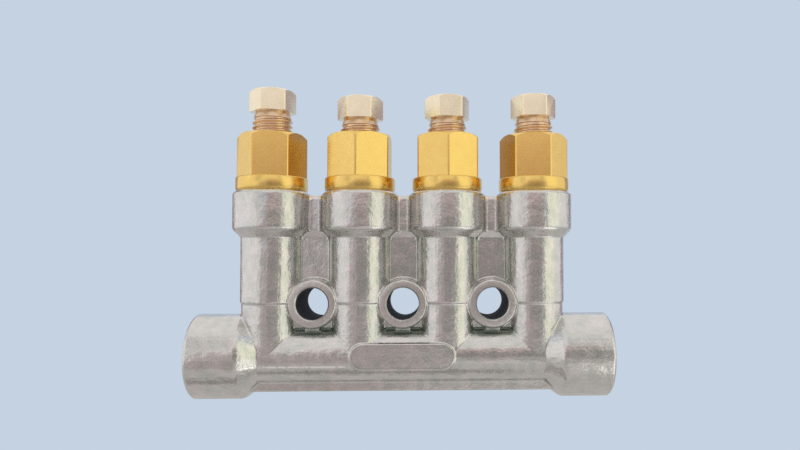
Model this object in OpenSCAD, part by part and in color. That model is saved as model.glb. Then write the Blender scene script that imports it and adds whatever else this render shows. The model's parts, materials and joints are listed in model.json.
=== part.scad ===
// Single-line lubrication distributor: one die-cast manifold with four dosing columns.
// Millimetres. The origin is the centre of the middle mounting hole on the wall face.
// +X runs along the main line, +Y points into the wall, and the outlets point up along +Z.

/* [Outlet row] */
// Distance between neighbouring outlets
pitch = 18; // [17:0.5:24]
// Distance from the wall face to the plane of the column axes
wall_gap = 9; // [9:0.1:12]

/* [Columns and cups] */
// Diameter of a column above its step
column_d = 12.2; // [11.8:0.1:13]
// Diameter of a column below its step
column_foot_d = 11.7; // [11:0.1:11.9]
// Height of the column step above the mounting holes
step_z = 0; // [-2:0.1:3]
// Outer diameter of a cup
cup_d = 15.5; // [15:0.1:16.5]
// Height at which a cup starts to widen from its column
cup_base_z = 13.3; // [12.5:0.1:15]
// Height of a cup, from its widening to its rim
cup_h = 9.4; // [9.2:0.1:12]
// Bevel round the outside of a cup's rim
cup_bevel = 0.6; // [0.2:0.1:0.8]

/* [Web] */
// Depth of the web's face in front of the column axes
web_front = 0.7; // [0.3:0.1:2]
// How far the upper web, between the cups, stands in front of the lower web
web_step = 0.5; // [0.2:0.1:1]
// Depth of the web behind the column axes
web_rear = 2.5; // [1:0.1:4]
// Drop of the web's top below the cup rims
web_drop = 0.7; // [0.3:0.1:2]
// Radius of the cast fillets between the web and the columns
web_fillet = 1; // [0.5:0.1:1.5]

/* [Mounting bosses] */
// Diameter of a mounting hole
hole_d = 6.4; // [5.5:0.1:6.6]
// Depth of a boss in front of the column axes
boss_front = 4.7; // [3:0.1:6]
// Diameter of a boss at its front face
boss_d = 9.7; // [9:0.1:10.4]
// Growth of a boss's radius from its front face to the column axes
boss_draft = 0.3; // [0.3:0.1:0.8]
// Width of the flat pad under a boss
pad_w = 7.5; // [5:0.1:8.5]
// Width of the narrow rib under a boss
rib_w = 2.9; // [2:0.1:4]

/* [Main line] */
// Drop of the main-line axis below the mounting holes
bar_drop = 10.7; // [10.5:0.1:13]
// Diameter of the main bar
bar_d = 11.8; // [11.5:0.1:14]
// Width of the squared foot of the bar
foot_w = 6.8; // [5:0.1:9]
// Drop of the foot's underside below the main-line axis
foot_drop = 6.7; // [6.2:0.1:7.5]
// Diameter of the duct along the bar
duct_d = 5; // [4:0.1:6]
// Diameter of an end port
port_d = 17; // [16:0.1:18]
// Length of the round part of an end port
port_l = 10.1; // [9:0.1:14]
// Length of the shoulder between port and bar
shoulder_l = 3.5; // [2:0.1:4]
// Distance from the outer column axis to the port's shoulder edge
port_offset = 4.8; // [4.5:0.1:8]
// Tapping diameter of an end port
port_tap_d = 9; // [8:0.1:11]
// Depth of an end port's thread
port_tap_l = 10; // [8:0.1:12]

/* [Raised plate] */
// Length of the oval plate on the bar's front
plate_w = 20.7; // [16:0.1:26]
// Height of the oval plate
plate_h = 5.2; // [4:0.1:6]
// How far the plate stands in front of the bar
plate_t = 0.4; // [0.4:0.1:1]
// Width and depth of the plate's raised edge
plate_rim = 0.25; // [0.2:0.05:0.4]

/* [Outlet fittings] */
// Width across flats of the fitting's hexagon
fitting_af = 12.3; // [12:0.1:13]
// Height of the hexagon
fitting_hex_h = 8.9; // [7.5:0.1:11]
// Diameter of the collar
collar_d = 14.4; // [14:0.1:15]
// Height of the collar
collar_h = 2.8; // [2:0.1:4]
// Diameter of the fitting's outside thread
fitting_thread_d = 11.5; // [11:0.1:11.7]
// Length of the fitting's shank, from its collar to the end of its thread
fitting_thread_l = 7.7; // [7:0.1:8]
// Diameter of the thread for the compression screw
nut_thread_d = 8.1; // [8:0.1:8.2]
// Depth of that thread
nut_thread_l = 6; // [5:0.1:6.5]
// Outer diameter of the outlet tube
tube_d = 4; // [3.9:0.05:4.2]
// Depth of the tube's socket below the ferrule's cone
tube_socket_l = 3; // [2:0.1:3.5]

/* [Compression screws] */
// Width across flats of the screw's head
screw_af = 8.2; // [8:0.1:9]
// Height of the head
screw_head_h = 4.5; // [3.5:0.1:6]
// Length of the plain neck
screw_neck_l = 1.4; // [1:0.1:2]
// Diameter of the neck
screw_neck_d = 7.6; // [6.4:0.1:7.8]
// Length of the screw's thread
screw_thread_l = 6.1; // [5:0.1:7]
// Radial play of the screw in its thread
screw_play = 0.05; // [0.03:0.01:0.08]
// Bore of the screw, wider than the tube
screw_bore_d = 4.5; // [4.4:0.05:4.7]

/* [Dosing cell] */
// Diameter of the dosing chamber
chamber_d = 8; // [7.6:0.1:8.4]
// Wall between the main duct and the chamber
chamber_floor = 3.6; // [3:0.1:4.5]
// Diameter of the inlet from the main duct
inlet_d = 2; // [1.5:0.1:2.4]
// Outer diameter of the core tube
core_d = 3; // [2.8:0.1:3.2]
// Bore of the core tube
core_bore_d = 1.4; // [1:0.1:1.6]
// Stroke of the metering piston
piston_stroke = 4; // [3:0.1:4.2]
// Length of the metering piston
piston_l = 4.6; // [3.5:0.1:5]
// Radial play of the piston in the chamber
piston_play = 0.05; // [0.03:0.01:0.08]
// Lift of the umbrella valve
valve_lift = 1; // [0.6:0.1:1.2]
// Diameter of the spring wire
wire_d = 0.5; // [0.4:0.05:0.6]
// Turns of the spring
spring_turns = 5; // [4:1:5]

/* [Hidden] */
$fn = 96;
eps = 0.01;
cells = 4;
// Turn of each fitting's hexagon and of each screw's head, as the fittings were tightened
fitting_turn = [-22, -2.5, 1, 21];
screw_turn = [-16.5, -27.5, -20.5, 27];
// Height of each screw above its tight position
screw_lift = [2.3, 0.9, 1.2, 1.5];

column_r = column_d / 2;
column_foot_r = column_foot_d / 2;
step_bevel = 0.25;
cup_r = cup_d / 2;
cup_round = 1.4;
rim_z = cup_base_z + cup_h;
cup_wall_z = cup_base_z + cup_r - column_r;
web_top_z = rim_z - web_drop;
web_top_bevel = 0.6;
web_upper_front = web_front + web_step;
// The fillets' ends: how far they stop from the column step, inside a boss, and from the upper web's edges
fillet_gap = 1;
fillet_inset = 0.3;

hole_r = hole_d / 2;
hole_bevel = 0.3;
boss_r = boss_d / 2;
boss_root_r = boss_r + boss_draft;
boss_foot_draft = 0.1;
boss_foot_r = boss_r + boss_foot_draft;
boss_bevel = 0.3;
pad_front = 2.7;
pad_drop = 4.9;
rib_front = 3.9;
rib_drop = 5.4;

bar_z = -bar_drop;
bar_r = bar_d / 2;
port_r = port_d / 2;
duct_r = duct_d / 2;
outer_x = (cells - 1) / 2 * pitch;
port_x = outer_x + port_offset;
end_x = port_x + port_l;
port_bevel = 0.5;
port_round = 0.4;
port_tap_r = port_tap_d / 2;
plate_rise = 0.4;
port_mouth_bevel = 0.6;
drill_tip = port_tap_r - duct_r;

cup_thread_clear = 0.05;
fitting_thread_r = fitting_thread_d / 2;
thread_bevel = 0.3;
cup_bore_r = fitting_thread_r + cup_thread_clear;
cup_bore_spare = 0.6;
cup_bore_z = rim_z - fitting_thread_l - cup_bore_spare;
seal_wire = 1;
seal_clear = 0.05;
undercut_t = 0.5;
undercut_r = fitting_thread_r - undercut_t;
undercut_l = seal_wire + 2 * seal_clear;
seal_seat_r = undercut_r + seal_wire + 2 * seal_clear;
chamber_r = chamber_d / 2;
chamber_z = bar_z + duct_r + chamber_floor;

hex_corner = 1 / cos(30);
fitting_r = fitting_af / 2 * hex_corner;
fitting_hex_z = rim_z + collar_h;
fitting_top_z = fitting_hex_z + fitting_hex_h;
fitting_end_z = rim_z - fitting_thread_l;
collar_bevel = 0.25;
nose_clear = 0.1;
nose_r = chamber_r - nose_clear;
nut_thread_r = nut_thread_d / 2;
nut_mouth_bevel = 0.4;
tube_clear = 0.05;
tube_bore_r = tube_d / 2 + tube_clear;
cone_half_angle = 30;
cone_l = (nut_thread_r - tube_bore_r) / tan(cone_half_angle);
cone_top_z = fitting_top_z - nut_thread_l;
cone_z = cone_top_z - cone_l;
tube_stop_z = cone_z - tube_socket_l;
passage_r = 1;

screw_r = screw_af / 2 * hex_corner;
screw_neck_r = screw_neck_d / 2;
screw_thread_r = nut_thread_r - screw_play;
screw_tip_bevel = 0.4;
screw_face_inset = 0.2;
screw_face_slope = 0.7;
ferrule_l = 3.4;
ferrule_gap = 0.7;
ferrule_r = nut_thread_r - ferrule_gap;
ferrule_nose_t = 0.5;
ferrule_nose_r = tube_bore_r + ferrule_nose_t;
ferrule_bevel = 0.5;
ferrule_clear = 0.05;
ferrule_z = cone_z + ferrule_nose_t / tan(cone_half_angle) + ferrule_clear;
screw_tip_z = ferrule_z + ferrule_l;

// Umbrella valve on the chamber's floor: foot, neck, thin lip and head
valve_h = 3.6;
valve_seat_w = 1.1;
valve_foot_r = inlet_d / 2 + valve_seat_w;
valve_foot_h = 0.7;
valve_foot_bevel = 0.3;
valve_neck_r = 1.4;
valve_head_r = 2.2;
valve_lip_clear = 0.15;
valve_lip_r = chamber_r - valve_lip_clear;
valve_lip_h = 1.25;
valve_lip_w = 0.4;
valve_lip_t = 0.5;
valve_lip_rise = 0.8;

core_r = core_d / 2;
core_press = 0.01;
core_head_h = 0.6;
core_head_w = 0.8;
core_head_r = core_r + core_head_w;
core_z = chamber_z + valve_h + valve_lift;
piston_z = core_z + core_head_h;
piston_r = chamber_r - piston_play;
piston_bore_clear = 0.08;
piston_bore_r = core_r + piston_bore_clear;
groove_w = 0.5;
groove_t = 0.3;

// The fitting's nose stops the spring where it isn't yet wound solid at the end of the stroke
wire_r = wire_d / 2;
spring_clear = 0.03;
spring_spare = 0.14;
spring_solid_h = (spring_turns + 1) * wire_d;
nose_z = piston_z + piston_l + piston_stroke + spring_solid_h + 2 * spring_clear + spring_spare;
spring_r = (chamber_r + core_r) / 2;
spring_z = piston_z + piston_l + wire_r + spring_clear;
spring_h = nose_z - spring_z - wire_r - spring_clear;
core_socket_l = 4;
core_top_z = nose_z + core_socket_l;
core_port_r = 0.5;
core_port_drop = 1.2;
core_port_z = nose_z - core_port_drop;

// Place of a cell's axis along the row, for cells 1 to 4
function cell_x(i) = (i - 1) * pitch - outer_x;

// Moves its children onto the axis of cell i
module at_cell(i) {
    translate([cell_x(i), -wall_gap, 0]) children();
}

// A turned piece about Z, from the outline of its right half
module turned(outline) {
    rotate_extrude() polygon(outline);
}

// An upright hexagon bar whose first corner faces the front, turned by angle
module hex_bar(across_corners_r, h, angle) {
    rotate([0, 0, angle - 90]) cylinder(r = across_corners_r, h = h, $fn = 6);
}

// Outline of one column and its cup, with the cup's lower edge rounded between wall and widening
module column_outline() {
    round_z = cup_wall_z + cup_round * (sqrt(2) - 1);
    cut = cup_round * (1 - sqrt(1 / 2));
    polygon([
        [0, bar_z], [column_foot_r, bar_z], [column_foot_r, step_z],
        [column_r, step_z + step_bevel], [column_r, cup_base_z],
        [cup_r - cut, cup_wall_z - cut], [cup_r, round_z],
        [cup_r, rim_z - cup_bevel], [cup_r - cup_bevel, rim_z], [0, rim_z]
    ]);
    translate([cup_r - cup_round, round_z]) circle(cup_round);
}

module column_solid() {
    rotate_extrude() column_outline();
}

// The web between the outer columns, with its stepped face and bevelled top
module web() {
    rotate([90, 0, 90]) translate([0, 0, -outer_x]) linear_extrude(2 * outer_x) polygon([
        [web_rear, bar_z], [-web_front, bar_z], [-web_front, cup_base_z],
        [-web_upper_front, cup_wall_z], [-web_upper_front, web_top_z - web_top_bevel],
        [-web_upper_front + web_top_bevel, web_top_z], [web_rear, web_top_z]
    ]);
}

// Outline of the fillet between a column of radius r and a web face at depth face, rounded in 4 steps
module fillet_outline(r, face) {
    centre_y = face + web_fillet;
    centre_x = sqrt(pow(r + web_fillet, 2) - pow(centre_y, 2));
    turn = atan2(centre_y, centre_x);
    arc = [
        for (k = [0:4]) let (a = turn + (90 - turn) * k / 4)
            [centre_x - web_fillet * cos(a), centre_y - web_fillet * sin(a)]
    ];
    polygon(concat([[r - web_fillet, 0]], arc, [[centre_x, 0]]));
}

// Cast fillets beside the columns, in front of the web and behind it, between two heights
module web_fillets(r, front, low_z, high_z) {
    for (i = [1:cells - 1], side = [0, 1]) translate([cell_x(i + side), 0, low_z]) mirror([side, 0, 0]) {
        mirror([0, 1, 0]) linear_extrude(high_z - low_z) fillet_outline(r, front);
        linear_extrude(high_z - low_z) fillet_outline(r, web_rear);
    }
}

// One mounting boss about its hole's axis, with the pad and rib that join it to the bar.
// The turned part starts at the top of the boss, clear of the columns' step.
module boss(x) {
    translate([x, 0, 0]) {
        rotate([90, 0, 0]) rotate([0, 0, 90]) turned([
            [0, -wall_gap], [boss_foot_r, -wall_gap], [boss_root_r, 0],
            [boss_r, boss_front - boss_bevel], [boss_r - boss_bevel, boss_front], [0, boss_front]
        ]);
        translate([-pad_w / 2, -pad_front, -pad_drop]) cube([pad_w, pad_front + web_rear, pad_drop - hole_r]);
        translate([-rib_w / 2, -rib_front, -rib_drop]) cube([rib_w, rib_front, rib_drop - hole_r]);
    }
}

// The main bar with its squared foot, and the two end ports
module bar() {
    translate([-port_x, 0, bar_z]) rotate([0, 90, 0]) cylinder(r = bar_r, h = 2 * port_x);
    translate([-port_x, -foot_w / 2, bar_z - foot_drop]) cube([2 * port_x, foot_w, foot_drop]);
}

module port_solid() {
    translate([0, 0, bar_z]) rotate([0, 90, 0]) turned([
        [0, port_x - shoulder_l], [bar_r, port_x - shoulder_l],
        [port_r - port_round / 2, port_x - port_round / 2], [port_r, port_x + port_round],
        [port_r, end_x - port_bevel], [port_r - port_bevel, end_x], [0, end_x]
    ]);
}

// The oval plate: a stadium with a thin raised edge
module stadium(w, h, t) {
    linear_extrude(t) {
        square([w - h, h], center = true);
        for (side = [-1, 1]) translate([side * (w - h) / 2, 0]) circle(h / 2);
    }
}

module plate() {
    translate([0, 0, bar_z + plate_rise]) rotate([90, 0, 0]) difference() {
        stadium(plate_w, plate_h, bar_r + plate_t);
        translate([0, 0, bar_r + plate_t - plate_rim])
            stadium(plate_w - 2 * plate_rim, plate_h - 2 * plate_rim, 1);
    }
}

// Everything cut out of a column: thread bore, seal seat, chamber and inlet
module cell_bore() {
    turned([
        [0, bar_z], [inlet_d / 2, bar_z], [inlet_d / 2, chamber_z], [chamber_r, chamber_z],
        [chamber_r, cup_bore_z], [cup_bore_r, cup_bore_z], [cup_bore_r, rim_z - undercut_l],
        [seal_seat_r, rim_z - undercut_l], [seal_seat_r, rim_z + 1], [0, rim_z + 1]
    ]);
}

// Tapped bore of one end port, with its mouth bevel and drill tip
module port_bore() {
    translate([0, 0, bar_z]) rotate([0, 90, 0]) turned([
        [0, end_x - port_tap_l - drill_tip], [duct_r, end_x - port_tap_l - drill_tip],
        [port_tap_r, end_x - port_tap_l], [port_tap_r, end_x - port_mouth_bevel],
        [port_tap_r + port_mouth_bevel + eps, end_x + eps], [0, end_x + eps]
    ]);
}

module mounting_bore(x) {
    translate([x, 0, 0]) rotate([90, 0, 0]) turned([
        [0, -wall_gap - 1], [hole_r, -wall_gap - 1], [hole_r, boss_front - hole_bevel],
        [hole_r + hole_bevel + eps, boss_front + eps], [0, boss_front + eps]
    ]);
}

module manifold_body() {
    color([0.70, 0.70, 0.68]) translate([0, -wall_gap, 0]) difference() {
        union() {
            for (i = [1:cells]) translate([cell_x(i), 0, 0]) column_solid();
            for (i = [1:cells - 1]) boss(cell_x(i) + pitch / 2);
            web();
            web_fillets(column_foot_r, web_front, bar_z, step_z - fillet_gap);
            web_fillets(column_r, web_front, step_z + fillet_gap, cup_base_z + web_fillet);
            web_fillets(cup_r, web_upper_front, cup_wall_z - fillet_inset,
                web_top_z - web_top_bevel - fillet_inset);
            bar();
            for (side = [0, 1]) mirror([side, 0, 0]) port_solid();
            plate();
        }
        for (i = [1:cells]) translate([cell_x(i), 0, 0]) cell_bore();
        for (i = [1:cells - 1]) mounting_bore(cell_x(i) + pitch / 2);
        translate([-end_x, 0, bar_z]) rotate([0, 90, 0]) cylinder(r = duct_r, h = 2 * end_x);
        for (side = [0, 1]) mirror([side, 0, 0]) port_bore();
    }
}

module outlet_fitting(i) {
    color([0.86, 0.67, 0.30]) at_cell(i) difference() {
        union() {
            intersection() {
                translate([0, 0, fitting_hex_z - eps])
                    hex_bar(fitting_r, fitting_hex_h + eps, fitting_turn[i - 1]);
                turned([
                    [0, fitting_hex_z - 1], [fitting_r + 1, fitting_hex_z - 1],
                    [fitting_r + 1, fitting_top_z - (fitting_r + 1 - fitting_af / 2)],
                    [fitting_af / 2, fitting_top_z], [0, fitting_top_z]
                ]);
            }
            turned([
                [0, nose_z], [nose_r, nose_z], [nose_r, fitting_end_z],
                [fitting_thread_r - thread_bevel, fitting_end_z],
                [fitting_thread_r, fitting_end_z + thread_bevel],
                [fitting_thread_r, rim_z - undercut_l - thread_bevel], [undercut_r, rim_z - undercut_l],
                [undercut_r, rim_z], [collar_d / 2, rim_z], [collar_d / 2, fitting_hex_z - collar_bevel],
                [collar_d / 2 - collar_bevel, fitting_hex_z], [0, fitting_hex_z]
            ]);
        }
        turned([
            [0, nose_z - 1], [core_r + core_press, nose_z - 1], [core_r + core_press, core_top_z],
            [passage_r, core_top_z], [passage_r, tube_stop_z], [tube_bore_r, tube_stop_z],
            [tube_bore_r, cone_z], [nut_thread_r, cone_top_z],
            [nut_thread_r, fitting_top_z - nut_mouth_bevel],
            [nut_thread_r + nut_mouth_bevel, fitting_top_z],
            [nut_thread_r + nut_mouth_bevel, fitting_top_z + 1], [0, fitting_top_z + 1]
        ]);
    }
}

module seal_ring(i) {
    color([0.12, 0.12, 0.12]) at_cell(i)
        translate([0, 0, rim_z - undercut_l / 2]) rotate_extrude()
            translate([undercut_r + seal_clear + seal_wire / 2, 0]) circle(seal_wire / 2);
}

module core_tube(i) {
    color([0.75, 0.76, 0.78]) at_cell(i) difference() {
        turned([
            [core_bore_d / 2, core_z], [core_head_r, core_z], [core_head_r, piston_z],
            [core_r, piston_z], [core_r, core_top_z], [core_bore_d / 2, core_top_z]
        ]);
        translate([-core_d, 0, core_port_z]) rotate([0, 90, 0])
            cylinder(r = core_port_r, h = 2 * core_d);
    }
}

module metering_piston(i) {
    color([0.62, 0.63, 0.66]) at_cell(i) difference() {
        turned([
            [piston_bore_r, piston_z], [piston_r, piston_z],
            [piston_r, piston_z + piston_l], [piston_bore_r, piston_z + piston_l]
        ]);
        for (k = [1, 2]) translate([0, 0, piston_z + k * piston_l / 3 - groove_w / 2]) turned([
            [piston_r - groove_t, 0], [piston_r + 1, 0], [piston_r + 1, groove_w],
            [piston_r - groove_t, groove_w]
        ]);
    }
}

// Points of a coil spring: one ring of wire points for each step along the helix
spring_sides = 8;
spring_steps = 14 * spring_turns;
function spring_point(s, a) =
    let (turn = 360 * spring_turns * s / spring_steps, r = spring_r + wire_r * cos(a))
    [r * cos(turn), r * sin(turn), spring_h * s / spring_steps + wire_r * sin(a)];

module return_spring(i) {
    last = spring_steps * spring_sides;
    points = [
        for (s = [0:spring_steps]) for (k = [0:spring_sides - 1]) spring_point(s, 360 * k / spring_sides)
    ];
    sides = [
        for (s = [0:spring_steps - 1]) for (k = [0:spring_sides - 1])
            let (n = (k + 1) % spring_sides, a = s * spring_sides)
            [a + k, a + n, a + spring_sides + n, a + spring_sides + k]
    ];
    ends = [
        [for (k = [spring_sides - 1:-1:0]) k],
        [for (k = [0:spring_sides - 1]) last + k]
    ];
    color([0.55, 0.56, 0.58]) at_cell(i) translate([0, 0, spring_z])
        polyhedron(points = points, faces = concat(sides, ends), convexity = 10);
}

module umbrella_valve(i) {
    foot_z = chamber_z + valve_foot_h;
    lip_z = chamber_z + valve_lip_h;
    color([0.45, 0.20, 0.12]) at_cell(i) turned([
        [0, chamber_z], [valve_foot_r, chamber_z], [valve_foot_r, foot_z],
        [valve_neck_r, foot_z + valve_foot_bevel], [valve_neck_r, lip_z + valve_lip_rise],
        [valve_lip_r - valve_lip_w, lip_z], [valve_lip_r, lip_z], [valve_lip_r, lip_z + valve_lip_t],
        [valve_head_r, lip_z + valve_lip_t + valve_lip_rise], [valve_head_r, chamber_z + valve_h],
        [0, chamber_z + valve_h]
    ]);
}

module ferrule(i) {
    color([0.80, 0.66, 0.36]) at_cell(i) translate([0, 0, ferrule_z + screw_lift[i - 1]]) turned([
        [tube_bore_r, 0], [ferrule_nose_r, 0],
        [ferrule_r, (ferrule_r - ferrule_nose_r) / tan(cone_half_angle)],
        [ferrule_r, ferrule_l - ferrule_bevel], [ferrule_r - ferrule_bevel, ferrule_l],
        [tube_bore_r, ferrule_l]
    ]);
}

module compression_screw(i) {
    neck_z = screw_thread_l;
    head_z = neck_z + screw_neck_l;
    top_z = head_z + screw_head_h;
    face_r = screw_af / 2 - screw_face_inset;
    color([0.90, 0.82, 0.66]) at_cell(i) translate([0, 0, screw_tip_z + screw_lift[i - 1]]) difference() {
        union() {
            turned([
                [0, 0], [screw_thread_r - screw_tip_bevel, 0], [screw_thread_r, screw_tip_bevel],
                [screw_thread_r, neck_z - thread_bevel], [screw_neck_r, neck_z],
                [screw_neck_r, head_z + eps], [0, head_z + eps]
            ]);
            intersection() {
                translate([0, 0, head_z]) hex_bar(screw_r, screw_head_h, screw_turn[i - 1]);
                turned([
                    [0, head_z - 1], [screw_r + 1, head_z - 1],
                    [screw_r + 1, top_z - (screw_r + 1 - face_r) * screw_face_slope],
                    [face_r, top_z], [0, top_z]
                ]);
            }
        }
        translate([0, 0, -1]) cylinder(r = screw_bore_d / 2, h = top_z + 2);
    }
}

manifold_body();
outlet_fitting(1);  // outlet_fitting_1
outlet_fitting(2);  // outlet_fitting_2
outlet_fitting(3);  // outlet_fitting_3
outlet_fitting(4);  // outlet_fitting_4
seal_ring(1);  // seal_ring_1
seal_ring(2);  // seal_ring_2
seal_ring(3);  // seal_ring_3
seal_ring(4);  // seal_ring_4
core_tube(1);  // core_tube_1
core_tube(2);  // core_tube_2
core_tube(3);  // core_tube_3
core_tube(4);  // core_tube_4
metering_piston(1);  // metering_piston_1
metering_piston(2);  // metering_piston_2
metering_piston(3);  // metering_piston_3
metering_piston(4);  // metering_piston_4
return_spring(1);  // return_spring_1
return_spring(2);  // return_spring_2
return_spring(3);  // return_spring_3
return_spring(4);  // return_spring_4
umbrella_valve(1);  // umbrella_valve_1
umbrella_valve(2);  // umbrella_valve_2
umbrella_valve(3);  // umbrella_valve_3
umbrella_valve(4);  // umbrella_valve_4
ferrule(1);  // ferrule_1
ferrule(2);  // ferrule_2
ferrule(3);  // ferrule_3
ferrule(4);  // ferrule_4
compression_screw(1);  // compression_screw_1
compression_screw(2);  // compression_screw_2
compression_screw(3);  // compression_screw_3
compression_screw(4);  // compression_screw_4
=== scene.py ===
import json
import math

import bmesh
import bpy
from mathutils import Matrix, Vector


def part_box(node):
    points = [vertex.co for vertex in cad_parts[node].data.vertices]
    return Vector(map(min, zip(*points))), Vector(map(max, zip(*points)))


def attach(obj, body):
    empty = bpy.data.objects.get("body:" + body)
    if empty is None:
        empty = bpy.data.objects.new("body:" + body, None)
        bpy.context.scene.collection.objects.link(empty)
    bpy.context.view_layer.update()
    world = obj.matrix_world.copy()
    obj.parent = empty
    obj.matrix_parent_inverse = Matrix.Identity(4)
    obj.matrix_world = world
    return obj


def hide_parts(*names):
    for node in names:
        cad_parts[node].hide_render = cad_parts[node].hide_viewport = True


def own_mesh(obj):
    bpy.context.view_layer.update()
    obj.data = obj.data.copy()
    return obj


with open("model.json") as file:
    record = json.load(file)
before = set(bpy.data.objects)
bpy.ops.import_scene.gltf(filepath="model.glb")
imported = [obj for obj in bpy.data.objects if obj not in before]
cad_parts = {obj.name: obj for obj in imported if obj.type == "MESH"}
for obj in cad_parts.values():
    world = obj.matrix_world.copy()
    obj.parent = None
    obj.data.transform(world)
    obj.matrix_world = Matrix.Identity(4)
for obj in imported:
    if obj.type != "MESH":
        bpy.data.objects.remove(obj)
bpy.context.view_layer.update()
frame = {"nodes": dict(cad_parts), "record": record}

# Looks of a single-line lubrication distributor: a die-cast manifold with four gold outlet fittings,
# each with a pale hollow compression screw. Metres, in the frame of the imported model: +X along the
# main line, +Y into the wall, outlets up along +Z.

MM = 0.001
mounts = {mount["name"]: mount for mount in frame["record"]["mounts"]}
CELLS = (1, 2, 3, 4)
SIDES = (-1, 1)

# Places and sizes that the frame gives
casting_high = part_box("manifold_body")[1]
seal_low, seal_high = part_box("seal_ring_1")
fitting_low, fitting_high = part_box("outlet_fitting_1")
AXIS_Y = (seal_low.y + seal_high.y) / 2
CELL_X = [sum(corner.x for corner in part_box(f"seal_ring_{i}")) / 2 for i in CELLS]
HOLE_X = [mounts[f"mounting_hole_{name}"]["pos_m"][0] for name in ("left", "middle", "right")]
HOLE_R = mounts["mounting_hole_middle"]["dims"]["r_mm"] * MM
HOLE_BEVEL = 0.3 * MM
BOSS_Y = -mounts["mounting_hole_middle"]["dims"]["length_mm"] * MM - HOLE_BEVEL
LINE_Z = mounts["main_line_right"]["pos_m"][2]
TAP_R = mounts["main_line_right"]["dims"]["r_mm"] * MM
END_X = casting_high.x
RIM_Z = casting_high.z

# Sizes of the casting, as in the part's source
TAP_L = 10 * MM
TAP_BEVEL = 0.6 * MM
DUCT_R = 2.5 * MM
INLET_R = 1 * MM
CHAMBER_R = 4 * MM
CHAMBER_Z = -4.6 * MM
CUP_BORE_R = 5.8 * MM
CUP_BORE_Z = 14.4 * MM
SEAL_SEAT_R = 6.35 * MM
SEAL_SEAT_L = 1.1 * MM
CUP_R = 7.75 * MM
BOSS_R = 4.85 * MM
PORT_R = 8.5 * MM
PLATE_Z = LINE_Z + 0.4 * MM
PLATE_Y = AXIS_Y - 6.3 * MM
PLATE_W = 20.7 * MM
PLATE_H = 5.2 * MM
PLATE_RIM = 0.3 * MM
COLUMN_R = 6.1 * MM
COLUMN_FOOT_R = 5.85 * MM
STEP_Z = 0
CUP_FOOT_Z = 13.3 * MM
BAR_R = 5.9 * MM
PITCH = CELL_X[1] - CELL_X[0]
WEB_Y = AXIS_Y - 0.7 * MM
WEB_TOP_Z = 13 * MM
WEB_FOOT_Z = -6 * MM
PAD_W = 7.5 * MM
TAP_THREAD_R = 4.95 * MM
TAP_THREAD_L = 8 * MM
TAP_PITCH = 1 * MM

# Outlet fittings
COLLAR_R = (fitting_high.x - fitting_low.x) / 2
COLLAR_H = 2.8 * MM
FITTING_TOP_Z = fitting_high.z
FITTING_END_Z = 15 * MM
NOSE_Z = fitting_low.z
NOSE_R = 3.9 * MM
FITTING_FLAT_R = 6.15 * MM
FITTING_THREAD_R = 5.75 * MM
UNDERCUT_R = 5.25 * MM
NUT_THREAD_R = 4.05 * MM
NUT_THREAD_L = 6 * MM
NUT_MOUTH_BEVEL = 0.4 * MM
TUBE_BORE_R = 2.05 * MM
TUBE_SOCKET_L = 3 * MM
PASSAGE_R = 1 * MM
CORE_R = 1.51 * MM
CORE_SOCKET_L = 4 * MM
CONE_SLOPE = math.tan(math.radians(30))
HEX_CORNER = 1 / math.cos(math.radians(30))
HEX_EDGE = 0.3 * MM
FITTING_TURN = (-22, -2.5, 1, 21)

# Compression screws
SCREW_TURN = (-16.5, -27.5, -20.5, 27)
SCREW_FLAT_R = 4.1 * MM
SCREW_HEAD_H = 4.5 * MM
SCREW_NECK_L = 1.4 * MM
SCREW_NECK_R = 3.8 * MM
SCREW_NECK_TOP_R = 3.35 * MM
SCREW_THREAD_L = 6.1 * MM
SCREW_THREAD_R = 4 * MM
SCREW_THREAD_START = 0.6 * MM
SCREW_THREAD_SHORT = 0.8 * MM
SCREW_ROOT_R = 3.5 * MM
SCREW_HEX_EDGE = 0.18 * MM
SCREW_BORE_R = mounts["outlet_1"]["dims"]["r_mm"] * MM
SCREW_PITCH = 1 * MM
SCREW_FACE_SLOPE = 0.7
SCREW_FACE_INSET = 0.2 * MM

# How the casting's skin is made
SKIN_VOXEL = 0.16 * MM
PLUG_LAP = 0.3 * MM
SKIN_TRIANGLES = 165000
SKIM = 0.03 * MM
FACE_LAP = 0.1 * MM
FILLET_LAP = 1.3 * MM
CUTTER_GAP = 0.03 * MM
CUT_OVER = 0.5 * MM

# Material indices of the casting and of a screw
SKIN, MILLED, HOLE_WALL_SHADE = 0, 1, 2
HEAD, SHAFT = 0, 1

# Half widths of a thread's tooth in pitches: sunk, at its root and at its crest
TOOTH_SUNK, TOOTH_ROOT, TOOTH_CREST = 0.48, 0.42, 0.08

# Mesh tolerances and shading
MERGE = 0.0005 * MM
SPIN_MERGE = 0.001 * MM
SHARP_ANGLE = 35
CAST_SHARP_ANGLE = 40


# Mesh tools

def lathe(outline, segments=96):
    """A closed solid of revolution about Z, from (radius, height) points whose ends lie on the axis."""
    bm = bmesh.new()
    points = [bm.verts.new((radius, 0, height)) for radius, height in outline]
    edges = [bm.edges.new(pair) for pair in zip(points, points[1:])]
    bmesh.ops.spin(bm, geom=points + edges, cent=(0, 0, 0), axis=(0, 0, 1), angle=2 * math.pi,
                   steps=segments, use_merge=True)
    bmesh.ops.remove_doubles(bm, verts=bm.verts, dist=SPIN_MERGE)
    bmesh.ops.recalc_face_normals(bm, faces=bm.faces)
    return bm


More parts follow.
